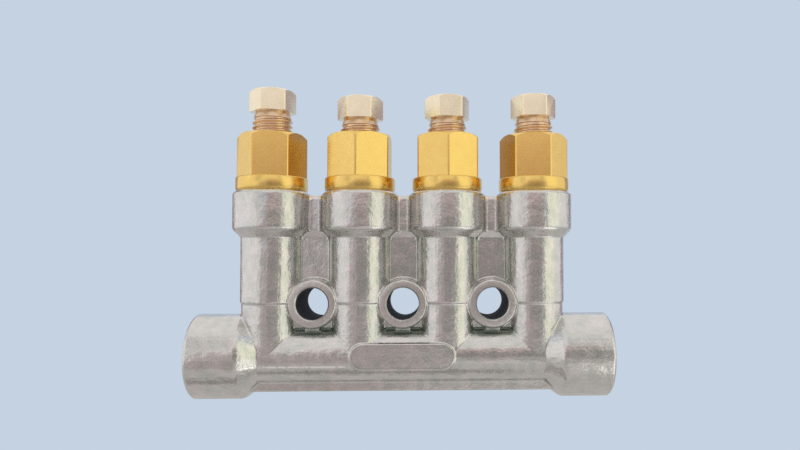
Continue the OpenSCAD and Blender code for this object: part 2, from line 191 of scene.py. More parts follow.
def hex_bar(flat_r, low, high, edge):
    """An upright hexagon bar between two heights, with rounded corners, one of them towards -Y."""
    bm = bmesh.new()
    bmesh.ops.create_cone(bm, cap_ends=True, segments=6, radius1=flat_r * HEX_CORNER,
                          radius2=flat_r * HEX_CORNER, depth=high - low)
    upright = [e for e in bm.edges if abs(e.verts[0].co.z - e.verts[1].co.z) > 0.5 * (high - low)]
    bmesh.ops.bevel(bm, geom=upright, offset=edge, segments=4, profile=0.5, affect="EDGES", material=-1)
    bmesh.ops.translate(bm, verts=bm.verts, vec=(0, 0, (low + high) / 2))
    return bm


def thread_ridge(root_r, crest_r, pitch, low, length, steps=48):
    """A right-hand thread: one closed tooth swept along its helix, sunk a little into its shaft."""
    bm = bmesh.new()
    half = [(root_r - FACE_LAP, TOOTH_SUNK), (root_r, TOOTH_ROOT), (crest_r, TOOTH_CREST)]
    tooth = [(radius, -share) for radius, share in half] + half[::-1]
    corners = [bm.verts.new((radius, 0, low + share * pitch)) for radius, share in tooth]
    face = bm.faces.new(corners)
    turns = length / pitch
    bmesh.ops.spin(bm, geom=[face] + face.edges[:] + corners, cent=(0, 0, 0), axis=(0, 0, 1),
                   dvec=(0, 0, pitch / steps), angle=2 * math.pi * turns, steps=round(steps * turns),
                   use_merge=False)
    bmesh.ops.recalc_face_normals(bm, faces=bm.faces)
    return bm


def placed(bm, turn=(0, "Z"), to=(0, 0, 0)):
    """The same shape, turned by degrees about an axis through the origin and then moved."""
    spin = Matrix.Rotation(math.radians(turn[0]), 3, turn[1])
    bmesh.ops.rotate(bm, verts=bm.verts, cent=(0, 0, 0), matrix=spin)
    bmesh.ops.translate(bm, verts=bm.verts, vec=to)
    return bm


def solid(name, bm, material_index=None, materials=()):
    """A mesh object made from a bmesh, which is freed."""
    if material_index is not None:
        for face in bm.faces:
            face.material_index = material_index
    mesh = bpy.data.meshes.new(name)
    for material in materials:
        mesh.materials.append(material)
    bm.to_mesh(mesh)
    bm.free()
    piece = bpy.data.objects.new(name, mesh)
    bpy.context.scene.collection.objects.link(piece)
    return piece


def applied(piece):
    """Replaces a piece's mesh by what its modifiers make of it."""
    bpy.context.view_layer.update()
    result = bpy.data.meshes.new_from_object(piece.evaluated_get(bpy.context.evaluated_depsgraph_get()))
    old = piece.data
    piece.modifiers.clear()
    piece.data = result
    bpy.data.meshes.remove(old)


def combine(piece, tool, operation):
    """Unites, intersects or cuts a piece with a tool solid, and removes the tool."""
    modifier = piece.modifiers.new("combine", "BOOLEAN")
    modifier.operation = operation
    modifier.solver = "EXACT"
    modifier.object = tool
    applied(piece)
    spent = tool.data
    bpy.data.objects.remove(tool)
    bpy.data.meshes.remove(spent)
    return piece


def cut(piece, bm, material_index=0):
    """Cuts a piece. The new faces take the given one of its materials."""
    return combine(piece, solid("cutter", bm, material_index, piece.data.materials), "DIFFERENCE")


def stadium(width, height, low, high):
    """An upright slab with round ends, along X, between two heights."""
    segments = 64
    bm = bmesh.new()
    bmesh.ops.create_circle(bm, cap_ends=True, segments=segments, radius=height / 2)
    # Half a step of turn keeps every corner off X = 0
    half_step = Matrix.Rotation(math.pi / segments, 3, "Z")
    bmesh.ops.rotate(bm, verts=bm.verts, cent=(0, 0, 0), matrix=half_step)
    for side in SIDES:
        half = [v for v in bm.verts if v.co.x * side > 0]
        bmesh.ops.translate(bm, verts=half, vec=(side * (width - height) / 2, 0, 0))
    grown = bmesh.ops.extrude_face_region(bm, geom=bm.faces[:])
    top = [v for v in grown["geom"] if isinstance(v, bmesh.types.BMVert)]
    bmesh.ops.translate(bm, verts=top, vec=(0, 0, high - low))
    bmesh.ops.translate(bm, verts=bm.verts, vec=(0, 0, low))
    bmesh.ops.recalc_face_normals(bm, faces=bm.faces)
    return bm


def joined(solids):
    """One bmesh that holds several."""
    whole = bmesh.new()
    for bm in solids:
        part = bpy.data.meshes.new("part")
        bm.to_mesh(part)
        bm.free()
        whole.from_mesh(part)
        bpy.data.meshes.remove(part)
    return whole


def shade(piece, sharp_angle=SHARP_ANGLE):
    """Smooth shading with the sharp edges kept sharp."""
    bm = bmesh.new()
    bm.from_mesh(piece.data)
    bmesh.ops.remove_doubles(bm, verts=bm.verts, dist=MERGE)
    for face in bm.faces:
        face.smooth = True
    for edge in bm.edges:
        edge.smooth = edge.calc_face_angle(0) < math.radians(sharp_angle)
    bm.to_mesh(piece.data)
    bm.free()


def finish_piece(piece, body, slot, materials, *nodes):
    """Gives a piece its materials and body, and hides the CAD nodes that it stands for. Its slot is not
    used.
    """
    for material in materials:
        piece.data.materials.append(material)
    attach(piece, body)
    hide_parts(*nodes)


# Shader tools

STREAK_LENGTH = 0.22
# Painted highlight: size of the gaps in the bright line on the bar
HIGHLIGHT_SPOT = 0.8 * MM
SHADE_BESIDE = 0.7

# Limits of the masks, each from none to full
PATCH_RANGE = (0.3, 0.7)
STREAK_RANGE = (0.35, 0.65)
UPRIGHT_STREAKS_Z = (LINE_Z + 4 * MM, LINE_Z + 9 * MM)
# Painted highlight: limits of the bright line along the bar's front
HIGHLIGHT_SHARE = (1, 0.4)
HIGHLIGHT_SPOTS = (0.35, 0.5)
HIGHLIGHT_LEFT_X = (-31 * MM, -30 * MM)
HIGHLIGHT_RIGHT_X = (-10.6 * MM, -11.2 * MM)
HIGHLIGHT_Y = (AXIS_Y, AXIS_Y - MM)
# Painted shade: limits of the masks for the shade beside the columns and the shadow on the bar under the
# bosses
FLANK_SHADE_OFF = (-0.3 * MM, 0.1 * MM)
FLANK_SHADE_Y = (AXIS_Y - 4.2 * MM, AXIS_Y - MM)
FLANK_SHADE_Z = (CUP_FOOT_Z + MM, CUP_FOOT_Z)
BAR_SHADOW_SIDE = (5.2 * MM, 4 * MM)
BAR_SHADOW_Y = (AXIS_Y - 5 * MM, AXIS_Y - 3.6 * MM)
BAR_SHADOW_TOP_Z = (-4.2 * MM, -5 * MM)
BAR_SHADOW_FOOT_Z = (-7 * MM, -6 * MM)
SHADE_LEFT_X = (-CELL_X[-1] - MM, -CELL_X[-1])
SHADE_RIGHT_X = (CELL_X[-1] + MM, CELL_X[-1])


def new_material(name, color, metallic, roughness):
    material = bpy.data.materials.new(name)
    material.use_nodes = True
    shader = material.node_tree.nodes["Principled BSDF"]
    shader.inputs["Base Color"].default_value = (*color, 1)
    shader.inputs["Metallic"].default_value = metallic
    shader.inputs["Roughness"].default_value = roughness
    return material, material.node_tree, shader


def add_node(tree, kind, **settings):
    node = tree.nodes.new(kind)
    for key, value in settings.items():
        if key in node.inputs:
            node.inputs[key].default_value = value
        else:
            setattr(node, key, value)
    return node


def new_group(name, inputs, outputs):
    """An empty node group with float sockets, and default values for its inputs."""
    group = bpy.data.node_groups.new(name, "ShaderNodeTree")
    for socket, value in inputs.items():
        made = group.interface.new_socket(name=socket, in_out="INPUT", socket_type="NodeSocketFloat")
        made.default_value = value
    for socket in outputs:
        group.interface.new_socket(name=socket, in_out="OUTPUT", socket_type="NodeSocketFloat")
    return group, group.nodes.new("NodeGroupInput"), group.nodes.new("NodeGroupOutput")


def ramp(tree, source, low, high):
    """Maps a value's range low to high onto 0 to 1."""
    mapped = add_node(tree, "ShaderNodeMapRange")
    mapped.inputs["From Min"].default_value = low
    mapped.inputs["From Max"].default_value = high
    tree.links.new(source, mapped.inputs["Value"])
    return mapped.outputs["Result"]


def math_node(tree, operation, *values):
    """A Math node's output. Each value is a number or another node's output."""
    node = add_node(tree, "ShaderNodeMath", operation=operation)
    for socket, value in zip(node.inputs, values):
        if isinstance(value, (int, float)):
            socket.default_value = value
        else:
            tree.links.new(value, socket)
    return node.outputs[0]


def product(tree, first, *others):
    """The product of several masks."""
    for other in others:
        first = math_node(tree, "MULTIPLY", first, other)
    return first


def object_place(tree):
    """Object coordinates."""
    return add_node(tree, "ShaderNodeTexCoord").outputs["Object"]


def split_place(tree, place):
    """The X, Y and Z outputs of a place."""
    split = add_node(tree, "ShaderNodeSeparateXYZ")
    tree.links.new(place, split.inputs["Vector"])
    return split.outputs


def blend_color(tree, mask, first, second):
    """Mixes two colours by a mask. Each is a colour or another node's output."""
    mix = add_node(tree, "ShaderNodeMix", data_type="RGBA")
    tree.links.new(mask, mix.inputs["Factor"])
    for socket, value in ((mix.inputs[6], first), (mix.inputs[7], second)):
        if isinstance(value, tuple):
            socket.default_value = (*value, 1)
        else:
            tree.links.new(value, socket)
    return mix.outputs[2]


def patches_group():
    """Soft and fine patches over a surface: large clouds, small grain, and the two together."""
    sizes = {"Cloud Size": 4 * MM, "Grain Size": 0.4 * MM}
    group, into, out = new_group("surface_patches", sizes, ("Clouds", "Grain", "Both"))
    place = object_place(group)
    results = []
    for size, detail in (("Cloud Size", 3), ("Grain Size", 2)):
        noise = add_node(group, "ShaderNodeTexNoise", Detail=detail, Roughness=0.55)
        group.links.new(place, noise.inputs["Vector"])
        group.links.new(math_node(group, "DIVIDE", 1, into.outputs[size]), noise.inputs["Scale"])
        results.append(ramp(group, noise.outputs["Fac"], *PATCH_RANGE))
    group.links.new(results[0], out.inputs["Clouds"])
    group.links.new(results[1], out.inputs["Grain"])
    group.links.new(product(group, *results), out.inputs["Both"])
    return group


def tool_marks_group():
    """Marks of turning: rings of uneven depth around the upright axis, by height alone."""
    group, into, out = new_group("tool_marks", {"Ring Size": 0.2 * MM}, ("Rings",))
    along = split_place(group, object_place(group))
    noise = add_node(group, "ShaderNodeTexNoise", noise_dimensions="1D", Scale=1.0, Detail=2, Roughness=0.6)
    group.links.new(math_node(group, "DIVIDE", along["Z"], into.outputs["Ring Size"]), noise.inputs["W"])
    group.links.new(noise.outputs["Fac"], out.inputs["Rings"])
    return group


def streaks_group():
    """Scuffs in short streaks: upright on the columns, and along X on the bar below them."""
    group, into, out = new_group("scuff_streaks", {"Streak Size": 0.4 * MM}, ("Streaks",))
    place = object_place(group)
    along = split_place(group, place)
    per = math_node(group, "DIVIDE", 1, into.outputs["Streak Size"])
    results = []
    for stretch in ((STREAK_LENGTH, 1, 1), (1, 1, STREAK_LENGTH)):
        scaled = add_node(group, "ShaderNodeVectorMath", operation="MULTIPLY")
        scaled.inputs[1].default_value = stretch
        group.links.new(place, scaled.inputs[0])
        noise = add_node(group, "ShaderNodeTexNoise", Detail=3, Roughness=0.6)
        group.links.new(scaled.outputs["Vector"], noise.inputs["Vector"])
        group.links.new(per, noise.inputs["Scale"])
        results.append(noise.outputs["Fac"])
    mix = add_node(group, "ShaderNodeMix")
    group.links.new(ramp(group, along["Z"], *UPRIGHT_STREAKS_Z), mix.inputs["Factor"])
    group.links.new(results[0], mix.inputs[2])
    group.links.new(results[1], mix.inputs[3])
    group.links.new(ramp(group, mix.outputs[0], *STREAK_RANGE), out.inputs["Streaks"])
    return group


def highlight_line_group():
    """A painted highlight: a broken bright line along the bar's front, from the left shoulder to the oval
    plate.
    """
    group, into, out = new_group("painted_highlight_line", {"Height": -12 * MM, "Width": 0.2 * MM}, ("Line",))
    place = object_place(group)
    along = split_place(group, place)
    away = math_node(group, "ABSOLUTE", math_node(group, "SUBTRACT", along["Z"], into.outputs["Height"]))
    share = math_node(group, "DIVIDE", away, into.outputs["Width"])
    spots = add_node(group, "ShaderNodeTexNoise", Detail=2, Roughness=0.6, Scale=1 / HIGHLIGHT_SPOT)
    group.links.new(place, spots.inputs["Vector"])
    line = product(
        group, ramp(group, share, *HIGHLIGHT_SHARE), ramp(group, spots.outputs["Fac"], *HIGHLIGHT_SPOTS),
        ramp(group, along["X"], *HIGHLIGHT_RIGHT_X), ramp(group, along["X"], *HIGHLIGHT_LEFT_X),
        ramp(group, along["Y"], *HIGHLIGHT_Y),
    )
    group.links.new(line, out.inputs["Line"])
    return group


def corner_shade_group():
    """Painted shade in the corners between the columns and the webs, and a painted shadow on the bar below
    the bosses.
    """
    group, into, out = new_group("painted_corner_shade", {"Reach": 1.2 * MM}, ("Shade_Mask",))
    along = split_place(group, object_place(group))
    side = math_node(group, "ABSOLUTE", math_node(group, "WRAP", along["X"], PITCH / 2, -PITCH / 2))
    off = math_node(group, "SUBTRACT", side, PITCH / 2 - COLUMN_R)
    fading = math_node(group, "SUBTRACT", 1, math_node(group, "DIVIDE", off, into.outputs["Reach"]))
    beside = product(
        group, ramp(group, fading, 0, 1), ramp(group, off, *FLANK_SHADE_OFF), SHADE_BESIDE,
        ramp(group, along["Y"], *FLANK_SHADE_Y), ramp(group, along["Z"], *FLANK_SHADE_Z),
    )
    below = product(
        group, ramp(group, along["Z"], *BAR_SHADOW_TOP_Z), ramp(group, along["Z"], *BAR_SHADOW_FOOT_Z),
        ramp(group, along["Y"], *BAR_SHADOW_Y), ramp(group, side, *BAR_SHADOW_SIDE),
    )
    painted_shade = product(
        group, math_node(group, "MAXIMUM", beside, below),
        ramp(group, along["X"], *SHADE_LEFT_X), ramp(group, along["X"], *SHADE_RIGHT_X),
    )
    group.links.new(painted_shade, out.inputs["Shade_Mask"])
    return group


PATCHES = patches_group()
TOOL_MARKS = tool_marks_group()
STREAKS = streaks_group()
HIGHLIGHT_LINE = highlight_line_group()
CORNER_SHADE = corner_shade_group()


def use_group(tree, group, **values):
    node = tree.nodes.new("ShaderNodeGroup")
    node.node_tree = group
    for name, value in values.items():
        node.inputs[name.replace("_", " ")].default_value = value
    return node


def bump(tree, shader, layers):
    """Chains bumps from (height output, strength, distance) layers into the shader's normal."""
    normal = None
    for height, strength, distance in layers:
        node = add_node(tree, "ShaderNodeBump", Strength=strength, Distance=distance)
        tree.links.new(height, node.inputs["Height"])
        if normal:
            tree.links.new(normal, node.inputs["Normal"])
        normal = node.outputs["Normal"]
    tree.links.new(normal, shader.inputs["Normal"])


# Materials

def uneven_roughness(tree, shader, mask, low, high):
    """Lets a mask move the roughness between two values."""
    rough = add_node(tree, "ShaderNodeMapRange")
    rough.inputs["To Min"].default_value = low
    rough.inputs["To Max"].default_value = high
    tree.links.new(mask, rough.inputs["Value"])
    tree.links.new(rough.outputs["Result"], shader.inputs["Roughness"])


def cast_metal():
    """Bright die casting: a satin skin with tinted clouds, scuffs and fine grain, a painted highlight line
    on the bar, and painted shade in the corners and under the bosses.
    """
    material, tree, shader = new_material("cast_skin", (0.66, 0.64, 0.63), 1, 0.3)
    skin = use_group(tree, PATCHES, Cloud_Size=2.4 * MM, Grain_Size=0.3 * MM)
    fine = use_group(tree, PATCHES, Cloud_Size=0.9 * MM, Grain_Size=0.24 * MM)
    scuffs = use_group(tree, STREAKS, Streak_Size=0.5 * MM)
    line = use_group(tree, HIGHLIGHT_LINE, Height=-12.2 * MM, Width=0.24 * MM)
    color = blend_color(tree, skin.outputs["Clouds"], (0.58, 0.595, 0.56), (0.735, 0.69, 0.69))
    color = blend_color(tree, ramp(tree, scuffs.outputs["Streaks"], 0.6, 2.4), color, (0.90, 0.88, 0.86))
    color = blend_color(tree, ramp(tree, fine.outputs["Grain"], 0.4, 4.5), color, (0.36, 0.35, 0.34))
    color = blend_color(tree, ramp(tree, fine.outputs["Both"], 0.6, 1.4), color, (0.40, 0.40, 0.385))
    # Painted highlight: a broken bright line along the bar's front
    color = blend_color(tree, line.outputs["Line"], color, (0.97, 0.94, 0.90))
    # Painted shade: a dark greenish colour in the corners beside the columns and on the bar under the
    # bosses
    painted_shade = use_group(tree, CORNER_SHADE, Reach=1.5 * MM)
    color = blend_color(tree, ramp(tree, painted_shade.outputs["Shade_Mask"], 0, 1.4), color, (0.27, 0.34, 0.30))
    tree.links.new(color, shader.inputs["Base Color"])
    uneven_roughness(tree, shader, skin.outputs["Grain"], 0.19, 0.30)
    bump(tree, shader, [
        (skin.outputs["Clouds"], 0.7, 0.09 * MM), (fine.outputs["Clouds"], 0.6, 0.02 * MM),
        (scuffs.outputs["Streaks"], 0.35, 0.014 * MM), (fine.outputs["Grain"], 0.4, 0.006 * MM),
    ])
    return material


def milled_metal():
    """Machined faces and bores of the casting, with small scratches."""
    material, tree, shader = new_material("milled_casting", (0.64, 0.62, 0.60), 1, 0.3)
    marks = use_group(tree, PATCHES, Cloud_Size=0.6 * MM, Grain_Size=0.14 * MM)
    color = blend_color(tree, marks.outputs["Clouds"], (0.60, 0.575, 0.56), (0.74, 0.71, 0.69))
    color = blend_color(tree, ramp(tree, marks.outputs["Grain"], 0.5, 1.6), color, (0.36, 0.34, 0.33))
    tree.links.new(color, shader.inputs["Base Color"])
    uneven_roughness(tree, shader, marks.outputs["Grain"], 0.24, 0.38)
    bump(tree, shader, [(marks.outputs["Grain"], 0.5, 0.01 * MM)])
    return material


def hole_shade_metal():
    """Walls of the mounting holes: a near-black, dull painted shade, with faint patches of tone."""
    material, tree, shader = new_material("hole_wall_shade", (0.04, 0.038, 0.04), 0, 0.75)
    shader.inputs["Specular IOR Level"].default_value = 0.15
    stain = use_group(tree, PATCHES, Cloud_Size=0.9 * MM, Grain_Size=0.2 * MM)
    tree.links.new(blend_color(tree, stain.outputs["Clouds"], (0.03, 0.028, 0.03), (0.06, 0.057, 0.06)),
                   shader.inputs["Base Color"])
    bump(tree, shader, [(stain.outputs["Grain"], 0.5, 0.012 * MM)])
    return material


def turned_metal(name, light, dark, roughness, ring_size, ring_depth):
    """Turned and milled bar stock: two close tones in clouds, and lathe rings, sized in millimetres."""
    material, tree, shader = new_material(name, light, 1, roughness)
    clouds = use_group(tree, PATCHES, Cloud_Size=1.8 * MM, Grain_Size=0.25 * MM)
    rings = use_group(tree, TOOL_MARKS, Ring_Size=ring_size * MM)
    color = blend_color(tree, clouds.outputs["Clouds"], dark, light)
    tree.links.new(color, shader.inputs["Base Color"])
    uneven_roughness(tree, shader, clouds.outputs["Grain"], roughness - 0.05, roughness + 0.07)
    bump(tree, shader, [
        (rings.outputs["Rings"], 0.5, ring_depth * MM), (clouds.outputs["Grain"], 0.12, 0.01 * MM),
    ])
    return material


def rubber(name, color, bloom):
    """Moulded rubber: dark, with a faint pale bloom."""
    material, tree, shader = new_material(name, color, 0, 0.55)
    dust = use_group(tree, PATCHES, Cloud_Size=1.2 * MM, Grain_Size=0.15 * MM)
    tree.links.new(blend_color(tree, dust.outputs["Both"], color, bloom), shader.inputs["Base Color"])
    bump(tree, shader, [(dust.outputs["Grain"], 0.2, 0.01 * MM)])
    return material


cast_skin = cast_metal()
milled = milled_metal()
hole_wall_shade = hole_shade_metal()
gold = turned_metal("gold_fitting", (0.89, 0.62, 0.20), (0.85, 0.58, 0.185), 0.24, 0.12, 0.006)
pale_brass = turned_metal("pale_brass", (0.94, 0.835, 0.64), (0.89, 0.775, 0.57), 0.27, 0.10, 0.006)
# Painted shade: a darker, redder copy of the pale brass for the screws' shafts, standing in for the shade
# in the thread's grooves
shaded_thread_brass = turned_metal("shaded_thread_brass", (0.82, 0.62, 0.43), (0.74, 0.53, 0.35), 0.3, 0.10, 0.004)
ferrule_brass = turned_metal("ferrule_brass", (0.86, 0.67, 0.34), (0.78, 0.58, 0.27), 0.28, 0.10, 0.005)
bright_steel = turned_metal("bright_steel", (0.66, 0.66, 0.67), (0.57, 0.57, 0.58), 0.25, 0.08, 0.003)
piston_steel = turned_metal("piston_steel", (0.52, 0.53, 0.55), (0.45, 0.46, 0.48), 0.2, 0.05, 0.003)
spring_steel = turned_metal("spring_steel", (0.42, 0.42, 0.44), (0.34, 0.34, 0.35), 0.32, 0.05, 0.002)
black_rubber = rubber("black_rubber", (0.018, 0.018, 0.018), (0.06, 0.06, 0.06))
brown_rubber = rubber("brown_rubber", (0.13, 0.04, 0.02), (0.24, 0.11, 0.07))


# Casting

def cell_bore(grow, top):
    """Cuts or plugs one column: inlet, chamber, thread bore and seal seat, grown by a lap."""
    return lathe([
        (0, LINE_Z), (INLET_R + grow, LINE_Z), (INLET_R + grow, CHAMBER_Z - grow),
        (CHAMBER_R + grow, CHAMBER_Z - grow), (CHAMBER_R + grow, CUP_BORE_Z - grow),
        (CUP_BORE_R + grow, CUP_BORE_Z - grow), (CUP_BORE_R + grow, RIM_Z - SEAL_SEAT_L - grow),
        (SEAL_SEAT_R + grow, RIM_Z - SEAL_SEAT_L - grow), (SEAL_SEAT_R + grow, top), (0, top),
    ])


def port_bore(grow, mouth):
    """Cuts or plugs a port and half of the duct, about Z. The mouth is a length from the middle."""
    depth = END_X - TAP_L
    bevel_r = TAP_R + TAP_BEVEL + (mouth - END_X)
    return lathe([
        (0, -grow), (DUCT_R + grow, -grow), (DUCT_R + grow, depth - (TAP_R - DUCT_R) - grow),
        (TAP_R + grow, depth - grow), (TAP_R + grow, END_X - TAP_BEVEL - grow),
        (bevel_r + grow, mouth - grow), (bevel_r + grow, mouth), (0, mouth),
    ])


def mounting_bore(grow, front, back):
    """Cuts or plugs one mounting hole, about Z, between its front and its back."""
    bevel_r = HOLE_R + HOLE_BEVEL + (front + BOSS_Y)
    return lathe([
        (0, back), (HOLE_R + grow, back), (HOLE_R + grow, -BOSS_Y - HOLE_BEVEL - grow),
        (bevel_r + grow, front - grow), (bevel_r + grow, front), (0, front),
    ])


def bores(grow, over):
    """All bores of the casting. Plugs end flush with the faces, and cutters reach over them."""
    shapes = [placed(cell_bore(grow, RIM_Z + over), to=(x, AXIS_Y, 0)) for x in CELL_X]
    for side in SIDES:
        shapes.append(placed(port_bore(grow, END_X + over), (90 * side, "Y"), (0, AXIS_Y, LINE_Z)))
    for x in HOLE_X:
        shapes.append(placed(mounting_bore(grow, -BOSS_Y + over, -over), (90, "X"), (x, 0, 0)))
    return shapes


def plate_pocket(grow, over):
    """Cuts or plugs the shallow pocket in the oval plate's front."""
    slab = stadium(PLATE_W - 2 * PLATE_RIM + 2 * grow, PLATE_H - 2 * PLATE_RIM + 2 * grow,
                   -PLATE_Y - PLATE_RIM - grow, -PLATE_Y + over)
    return placed(slab, (90, "X"), (0, 0, PLATE_Z))


def tap_thread(side):
    """Cuts the groove of a port's thread."""
    deep = END_X - TAP_BEVEL - TAP_THREAD_L
    ridge = thread_ridge(TAP_R, TAP_THREAD_R, TAP_PITCH, deep, TAP_THREAD_L)
    return placed(ridge, (90 * side, "Y"), (0, AXIS_Y, LINE_Z))


def web_fillets(x):
    """Cutter that takes the wide fillets off one web, beside the columns and the bar."""
    half = PITCH / 2
    bm = bmesh.new()
    bmesh.ops.create_cube(bm, size=1)
    bmesh.ops.scale(bm, verts=bm.verts, vec=(PITCH - COLUMN_R, FILLET_LAP, WEB_TOP_Z - WEB_FOOT_Z))
    block = solid("block", placed(bm, to=(x, WEB_Y - FILLET_LAP / 2, (WEB_TOP_Z + WEB_FOOT_Z) / 2)))
    foot, top = WEB_FOOT_Z - MM, WEB_TOP_Z + MM
    for side in SIDES:
        column = lathe([(0, foot), (COLUMN_FOOT_R + CUTTER_GAP, foot), (COLUMN_FOOT_R + CUTTER_GAP, STEP_Z),
                        (COLUMN_R + CUTTER_GAP, STEP_Z), (COLUMN_R + CUTTER_GAP, top), (0, top)])
        cut(block, placed(column, to=(x + side * half, AXIS_Y, 0)))
    bar = lathe([(0, -PITCH), (BAR_R + CUTTER_GAP, -PITCH), (BAR_R + CUTTER_GAP, PITCH), (0, PITCH)])
    cut(block, placed(bar, (90, "Y"), (x, AXIS_Y, LINE_Z)))
    boss = lathe([(0, 0), (BOSS_R + 2 * FACE_LAP, 0), (BOSS_R + 2 * FACE_LAP, PITCH), (0, PITCH)])
    cut(block, placed(boss, (90, "X"), (x, 0, 0)))
    pad = bmesh.new()
    bmesh.ops.create_cube(pad, size=1)
    bmesh.ops.scale(pad, verts=pad.verts, vec=(PAD_W + 2 * FACE_LAP, PITCH, -WEB_FOOT_Z + MM))
    return cut(block, placed(pad, to=(x, -PITCH / 2, (WEB_FOOT_Z - MM) / 2)))


def facing_cuts():
    """Cutters that skim the machined faces: boss fronts and backs, port ends and cup rims."""
    over = 2 * MM

    def disc(radius, low, high):
        return lathe([(0, low), (radius, low), (radius, high), (0, high)], segments=48)

    shapes = []
    for x in HOLE_X:
        front = disc(BOSS_R + FACE_LAP, -BOSS_Y - SKIM, -BOSS_Y + over)
        shapes.append(placed(front, (90, "X"), (x, 0, 0)))
        shapes.append(placed(disc(BOSS_R + MM, -over, SKIM), (90, "X"), (x, 0, 0)))
    for side in SIDES:
        end = disc(PORT_R + MM, END_X - SKIM, END_X + over)
        shapes.append(placed(end, (90 * side, "Y"), (0, AXIS_Y, LINE_Z)))
    for x in CELL_X:
        shapes.append(placed(disc(CUP_R + MM, RIM_Z - SKIM, RIM_Z + over), to=(x, AXIS_Y, 0)))
    return shapes


def darken_holes(piece):
    """Gives the walls of the mounting holes their own near-black material, a painted shade."""
    for face in piece.data.polygons:
        from_axis = min(math.hypot(face.center.x - x, face.center.z) for x in HOLE_X)
        if from_axis < HOLE_R + FACE_LAP / 2 and face.material_index == MILLED:
            face.material_index = HOLE_WALL_SHADE


def make_casting():
    """The casting with a soft cast skin. Its bores and machined faces are cut sharp afterwards."""
    merged = bmesh.new()
    merged.from_mesh(frame["nodes"]["manifold_body"].data)
    bmesh.ops.remove_doubles(merged, verts=merged.verts, dist=MERGE)
    shell = solid("shell", merged)
    for x in HOLE_X:
        combine(shell, web_fillets(x), "DIFFERENCE")
    body = bmesh.new()
    body.from_mesh(shell.data)
    bpy.data.objects.remove(shell)
    piece = solid("casting", joined([body] + bores(PLUG_LAP, 0) + [plate_pocket(PLATE_RIM / 2, 0)]))
    skin = piece.modifiers.new("skin", "REMESH")
    skin.mode = "VOXEL"
    skin.voxel_size = SKIN_VOXEL
    soft = piece.modifiers.new("soft", "SMOOTH")
    soft.factor = 0.5
    soft.iterations = 2
    applied(piece)
    triangles = sum(len(face.vertices) - 2 for face in piece.data.polygons)
    thin = piece.modifiers.new("thin", "DECIMATE")
    thin.ratio = min(1, SKIN_TRIANGLES / triangles)
    applied(piece)
    for material in (cast_skin, milled, hole_wall_shade):
        piece.data.materials.append(material)
    cut(piece, joined(facing_cuts()), MILLED)
    cut(piece, plate_pocket(0, MM), SKIN)
    for bore in bores(0, CUT_OVER):
        cut(piece, bore, MILLED)
    for side in SIDES:
        cut(piece, tap_thread(side), MILLED)
    # Painted shade on the walls of the mounting holes
    darken_holes(piece)
    shade(piece, CAST_SHARP_ANGLE)
    finish_piece(piece, "manifold", "die_casting", [], "manifold_body")


# Outlet fittings

def fitting_blank():
    """Collar, undercut, outside thread and nose of a fitting, about Z."""
    hex_z = RIM_Z + COLLAR_H
    small = 0.12 * MM
    bevel = 0.3 * MM
    return lathe([
        (0, NOSE_Z), (NOSE_R, NOSE_Z), (NOSE_R, FITTING_END_Z), (FITTING_THREAD_R - bevel, FITTING_END_Z),
        (FITTING_THREAD_R, FITTING_END_Z + bevel), (FITTING_THREAD_R, RIM_Z - SEAL_SEAT_L - bevel),
        (UNDERCUT_R, RIM_Z - SEAL_SEAT_L), (UNDERCUT_R, RIM_Z), (COLLAR_R - bevel, RIM_Z),
        (COLLAR_R - small / 2, RIM_Z + bevel), (COLLAR_R, RIM_Z + bevel + small),
        (COLLAR_R, hex_z - 2 * small), (COLLAR_R - small / 2, hex_z - small), (COLLAR_R - 2 * small, hex_z),
        (0, hex_z),
    ], segments=128)


def fitting_bore():
    """Screw thread, cone, tube socket, passage and core-tube seat of a fitting, about Z."""
    cone_top = FITTING_TOP_Z - NUT_THREAD_L
    cone_z = cone_top - (NUT_THREAD_R - TUBE_BORE_R) / CONE_SLOPE
    socket_z = cone_z - TUBE_SOCKET_L
    core_top = NOSE_Z + CORE_SOCKET_L
    return lathe([
        (0, NOSE_Z - MM), (CORE_R, NOSE_Z - MM), (CORE_R, core_top), (PASSAGE_R, core_top),
        (PASSAGE_R, socket_z), (TUBE_BORE_R, socket_z), (TUBE_BORE_R, cone_z), (NUT_THREAD_R, cone_top),
        (NUT_THREAD_R, FITTING_TOP_Z - NUT_MOUTH_BEVEL), (NUT_THREAD_R + NUT_MOUTH_BEVEL, FITTING_TOP_Z),
        (NUT_THREAD_R + NUT_MOUTH_BEVEL, FITTING_TOP_Z + MM), (0, FITTING_TOP_Z + MM),
    ])


def chamfer_blank(flat_r, inset, low, top, slope):
    """A solid of revolution that turns a hexagon's top corners into a chamfer with a rolled edge."""
    out = flat_r * HEX_CORNER + MM
    face_r = flat_r - inset
    roll = 0.15 * MM
    return lathe([
        (0, low), (out, low), (out, top - (out - face_r) * slope),
        (face_r + roll, top - roll * slope), (face_r, top - 0.25 * roll), (face_r - roll, top), (0, top),
    ])


def make_fitting_shape():
    """One gold fitting about Z, with a hexagon corner towards -Y."""
    hex_low = RIM_Z + COLLAR_H - FACE_LAP
    piece = solid("gold_fitting", hex_bar(FITTING_FLAT_R, hex_low, FITTING_TOP_Z, HEX_EDGE))
    chamfer = chamfer_blank(FITTING_FLAT_R, 0, hex_low - MM, FITTING_TOP_Z, 1)
    combine(piece, solid("chamfer", chamfer), "INTERSECT")
    combine(piece, solid("blank", fitting_blank()), "UNION")
    cut(piece, fitting_bore())
    return piece


# Compression screws

